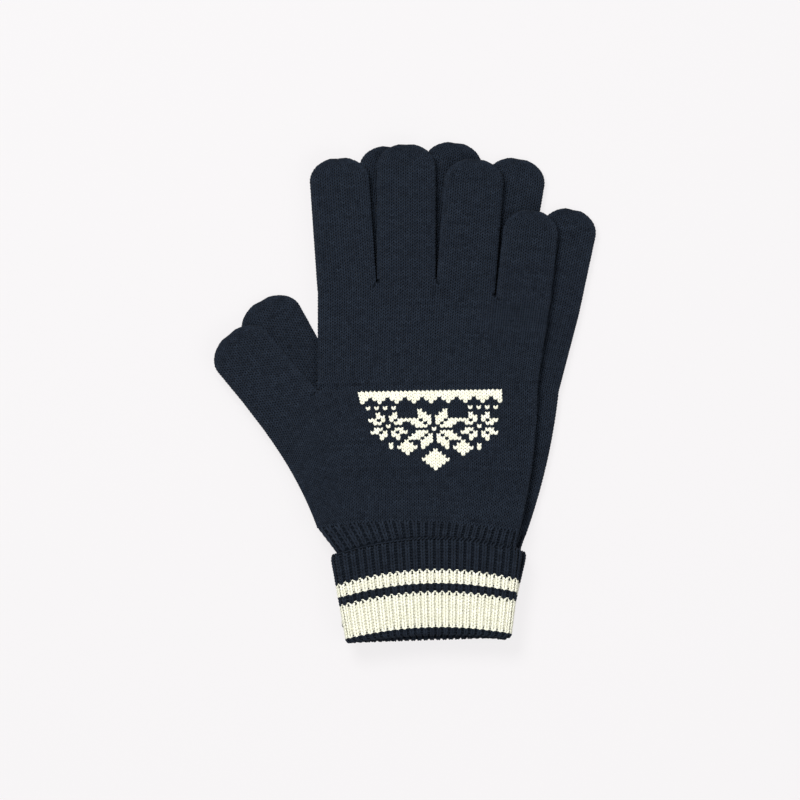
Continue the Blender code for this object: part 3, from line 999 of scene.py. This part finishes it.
for number, side in enumerate(SIDES):
    rib_field, knit = split_rib(inner_rib(side, rib_columns("navy"), SINK))
    legs = ribbed(f"{side}_rib_wales", (rib_field, knit), KNIT, RIB_NAVY, 0.06, 80 + number)
    bumps = ribbed(f"{side}_rib_valleys", (rib_field, ~knit), PURL, RIB_NAVY, 0.1, 82 + number)
    around = np.arange(4 * RIBS) / (4 * RIBS)
    rings = [
        cuff_point(side, around, np.full(len(around), h), WALL + GAP + SINK + rib_profile(around))
        for h in np.linspace(RIB_START, CUFF_HEIGHT, 8)
    ]
    top = wrist_ring(side, around, SINK + 0.0003)
    rings += [rings[-1] + (top - rings[-1]) * t for t in (0.5, 1.0)]
    sheet = [np.array(rings)]
    ground = fabric(
        f"{side}_rib_ground", sheet, NAVY_SHADE_GROUND, inner=RIB_GROUND, around=True, step=1
    )
    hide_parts(f"{side}_cuff_rib")
    for piece in (legs, bumps, ground):
        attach(piece, f"{side}_glove")

# ------------------------------------------------------------------------------------------
# The turned-up cuffs. The rib is turned up over itself, so this layer's navy and cream bands
# face outwards. It rolls inwards at the fold, where the mouth gapes a little, and ends above
# in a cast-off edge of slanting loops.

MOUTH_GAPE = 0.0021  # rise of the upper layer's fold, in the middle of the mouth
ROLL = 0.00115  # radius of the yarn's path round the fold
ROLL_COURSES = 3  # round the fold
INSIDE_COURSES = 6  # past it, up the inside of the cuff
VALLEY_FILL = 1.5  # how much wider the cream yarn lies in its valleys
SHADE_SHIFT = 0.8 * RIB_COURSE  # how far below its stripe's edge the cream ground begins


def turned_up(side, share, top, bottom, courses, profile):
    """Rings of the turned-up layer between two distances below its free edge, lowest first."""
    x, z = ring_point(share, FOLD_WIDTH / 2, CUFF_HALF)
    beside = (2 * x / FOLD_WIDTH) ** 2
    lift = (LOW_BOW - FOLD_BOW) * beside + MOUTH_GAPE * smooth(z / CUFF_HALF) * (1 - beside)
    straight = CUFF_HEIGHT - lift - SINK - ROLL
    rings = []
    for run in np.linspace(bottom, top, courses + 1):
        turn = np.clip((run - straight) / ROLL, 0, math.pi)
        inside = np.maximum(run - straight - math.pi * ROLL, 0)
        height = CUFF_HEIGHT - np.minimum(run, straight) - ROLL * np.sin(turn) + inside
        depth = SINK + ROLL * (1 - np.cos(turn)) + profile * np.cos(turn)
        rings.append(cuff_point(side, share, height, depth))
    return np.array(rings)


# Three short lengths that finish the rib: the slanting loop of the edge, the rounded foot of a
# stripe's last cream stitch, and the cream arch over the navy dot where a stripe begins.
EDGE_LENGTH = (
    (-0.80, -0.42, -0.12, 0),
    (-0.30, -0.22, 0.08, 0.24),
    (0.30, 0.22, 0.10, 0.24),
    (0.80, 0.42, -0.12, 0),
)
FOOT_LENGTH = (
    (-0.46, 0.10, -0.1, 0),
    (-0.36, -0.26, 0.07, 0.2),
    (-0.13, -0.58, 0.09, 0.2),
    (0.13, -0.58, 0.09, 0.2),
    (0.36, -0.26, 0.07, 0.2),
    (0.46, 0.10, -0.1, 0),
)
ARCH_LENGTH = (
    (-1.7, -0.60, -0.05, 0),
    (-0.8, -0.12, 0.10, 0.2),
    (0.8, -0.12, 0.10, 0.2),
    (1.7, -0.60, -0.05, 0),
)
EDGE_LOOP = yarn_lengths("cast_off_loop", (EDGE_LENGTH,))
FOOT = yarn_lengths("turned_foot", (FOOT_LENGTH,))
ARCH = yarn_lengths("valley_arch", (ARCH_LENGTH,))
RIB_CREAM = yarn_finish("cream_rib_yarn", (0.80, 0.79, 0.63), (0.96, 0.95, 0.83), 0.10)
YARNS = {  # yarn, ground in painted shade and slot of each colour
    "navy": (RIB_NAVY, NAVY_SHADE_GROUND, "navy_rib"),
    "cream": (RIB_CREAM, CREAM_SHADE_GROUND, "cream_yarn"),
}

for number, side in enumerate(SIDES):
    low = 0.0
    for order, (name, height, colour, courses) in enumerate(CUFF_BANDS):
        yarn, shade, slot = YARNS[colour]
        top = CUFF_HEIGHT - low - height
        bottom = top + height
        if order == 0:
            courses += ROLL_COURSES + INSIDE_COURSES
            bottom = top + courses * RIB_COURSE
        seed = 100 + 20 * number + order
        pieces = []
        if name == "cuff_edge":
            share = (np.arange(2 * RIBS) + 0.5) / (2 * RIBS)
            lattice = turned_up(side, share, top, bottom, 1, 0.0)
            loops = every(stitches_in(lattice, True))
            pieces.append(ribbed(f"{side}_{name}", loops, EDGE_LOOP, yarn, 0.08, seed))
        else:
            columns = rib_columns(colour)
            field, knit = split_rib(turned_up(side, columns, top, bottom, courses, 0.0))
            pieces.append(ribbed(f"{side}_{name}", (field, knit), KNIT, yarn, 0.05, seed))
            # Between the ribs a change of yarn shows one course higher up.
            high = top if order == 4 else top - RIB_COURSE
            if colour == "cream":
                for label, pattern, first, last, extra in (
                    ("arches", ARCH, high, top, 14),
                    ("feet", FOOT, bottom - RIB_COURSE, bottom, 15),
                ):
                    field, knit = split_rib(turned_up(side, columns, first, last, 1, 0.0))
                    kept = (field, knit if pattern is FOOT else ~knit)
                    pieces.append(
                        ribbed(f"{side}_{name}_{label}", kept, pattern, yarn, 0.03, seed + extra)
                    )
                high = top + RIB_COURSE
            deep = bottom - (RIB_COURSE if order else 0)
            rows = round((deep - high) / RIB_COURSE)
            field, knit = split_rib(turned_up(side, columns, high, deep, rows, 0.0))
            wide = VALLEY_FILL if colour == "cream" else 1.0
            valleys = (field, ~knit)
            pieces.append(
                ribbed(f"{side}_{name}_valleys", valleys, PURL, yarn, 0.1, seed + 10, wide)
            )
        around = np.arange(4 * RIBS) / (4 * RIBS)
        rows = max(2, courses // 2) if order else 12
        start = top + (SHADE_SHIFT if colour == "cream" else 0.0)
        stop = bottom + (SHADE_SHIFT if order in (2, 4) else 0.0)
        sheet = [turned_up(side, around, start, stop, rows, rib_profile(around))]
        pieces.append(
            fabric(f"{side}_{name}_ground", sheet, shade, inner=RIB_GROUND, around=True, step=1)
        )
        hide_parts(f"{side}_{name}")
        for piece in pieces:
            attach(piece, f"{side}_glove")
        low += height

for pattern in (PLAIN, PATCH_STITCH, KNIT, PURL, EDGE_LOOP, FOOT, ARCH):
    bpy.data.objects.remove(pattern, do_unlink=True)

# ------------------------------------------------------------------------------------------
# The room: a plain pale floor inside a pale round backdrop, both lit from within, broad soft
# light from above and a camera that looks straight down on the pair.

FLOOR_LEVEL = -0.0004  # just below the lowest yarn
FLOOR_REACH = 3.0
BACKDROP_REACH = 2.6
PALE = (0.922, 0.905, 0.913, 1)
VIEW_SHIFT = (-0.00063, -0.00263)  # of the camera, from the middle of the pair

floor_mesh = bpy.data.meshes.new("floor")
signs = ((-1, -1), (1, -1), (1, 1), (-1, 1))
corners = [(x * FLOOR_REACH, y * FLOOR_REACH, FLOOR_LEVEL) for x, y in signs]
floor_mesh.from_pydata(corners, [], [(0, 1, 2, 3)])
floor = bpy.data.objects.new("floor", floor_mesh)
bpy.context.scene.collection.objects.link(floor)
paper = bpy.data.materials.new("pale_floor")
paper.use_nodes = True
paper_shader = paper.node_tree.nodes["Principled BSDF"]
paper_shader.inputs["Base Color"].default_value = (0.10, 0.098, 0.099, 1)
paper_shader.inputs["Roughness"].default_value = 1.0
paper_shader.inputs["Specular IOR Level"].default_value = 0.0
paper_shader.inputs["Emission Color"].default_value = PALE
paper_shader.inputs["Emission Strength"].default_value = 0.875
floor_mesh.materials.append(paper)
floor.visible_diffuse = False

bpy.ops.mesh.primitive_uv_sphere_add(segments=48, ring_count=24, radius=BACKDROP_REACH)
backdrop = bpy.context.object
backdrop.name = "backdrop"
wall = bpy.data.materials.new("pale_backdrop")
wall.use_nodes = True
wall_shader = wall.node_tree.nodes["Principled BSDF"]
wall_shader.inputs["Base Color"].default_value = (0.0, 0.0, 0.0, 1)
wall_shader.inputs["Specular IOR Level"].default_value = 0.0
wall_shader.inputs["Emission Color"].default_value = PALE
wall_shader.inputs["Emission Strength"].default_value = 1.0
backdrop.data.materials.append(wall)
backdrop.visible_diffuse = False
backdrop.visible_glossy = False
backdrop.visible_shadow = False

world = bpy.data.worlds.new("soft_room")
world.use_nodes = True
world.node_tree.nodes["Background"].inputs["Color"].default_value = (1.0, 1.0, 1.0, 1)
world.node_tree.nodes["Background"].inputs["Strength"].default_value = 0.30
bpy.context.scene.world = world


def soft_light(name, place, aim, size, power):
    lamp = bpy.data.lights.new(name, "AREA")
    lamp.shape = "DISK"
    lamp.size = size
    lamp.energy = power
    holder = bpy.data.objects.new(name, lamp)
    holder.location = place
    holder.rotation_euler = (Vector(aim) - Vector(place)).to_track_quat("-Z", "Y").to_euler()
    bpy.context.scene.collection.objects.link(holder)


soft_light("key_light", (-0.30, 0.42, 1.15), (0, 0, 0), 0.50, 14.0)
soft_light("fill_light", (0.45, -0.30, 1.2), (0, 0, 0), 0.9, 6.0)

camera = bpy.data.cameras.new("camera")
camera.type = "ORTHO"
camera.ortho_scale = 0.36
camera.clip_start = 0.01
camera.clip_end = 10.0
camera.dof.use_dof = False
viewer = bpy.data.objects.new("camera", camera)
viewer.location = (PLAN_SHIFT[0] + VIEW_SHIFT[0], PLAN_SHIFT[1] + VIEW_SHIFT[1], 1.0)
bpy.context.scene.collection.objects.link(viewer)
bpy.context.scene.camera = viewer
bpy.context.scene.view_settings.view_transform = "Standard"
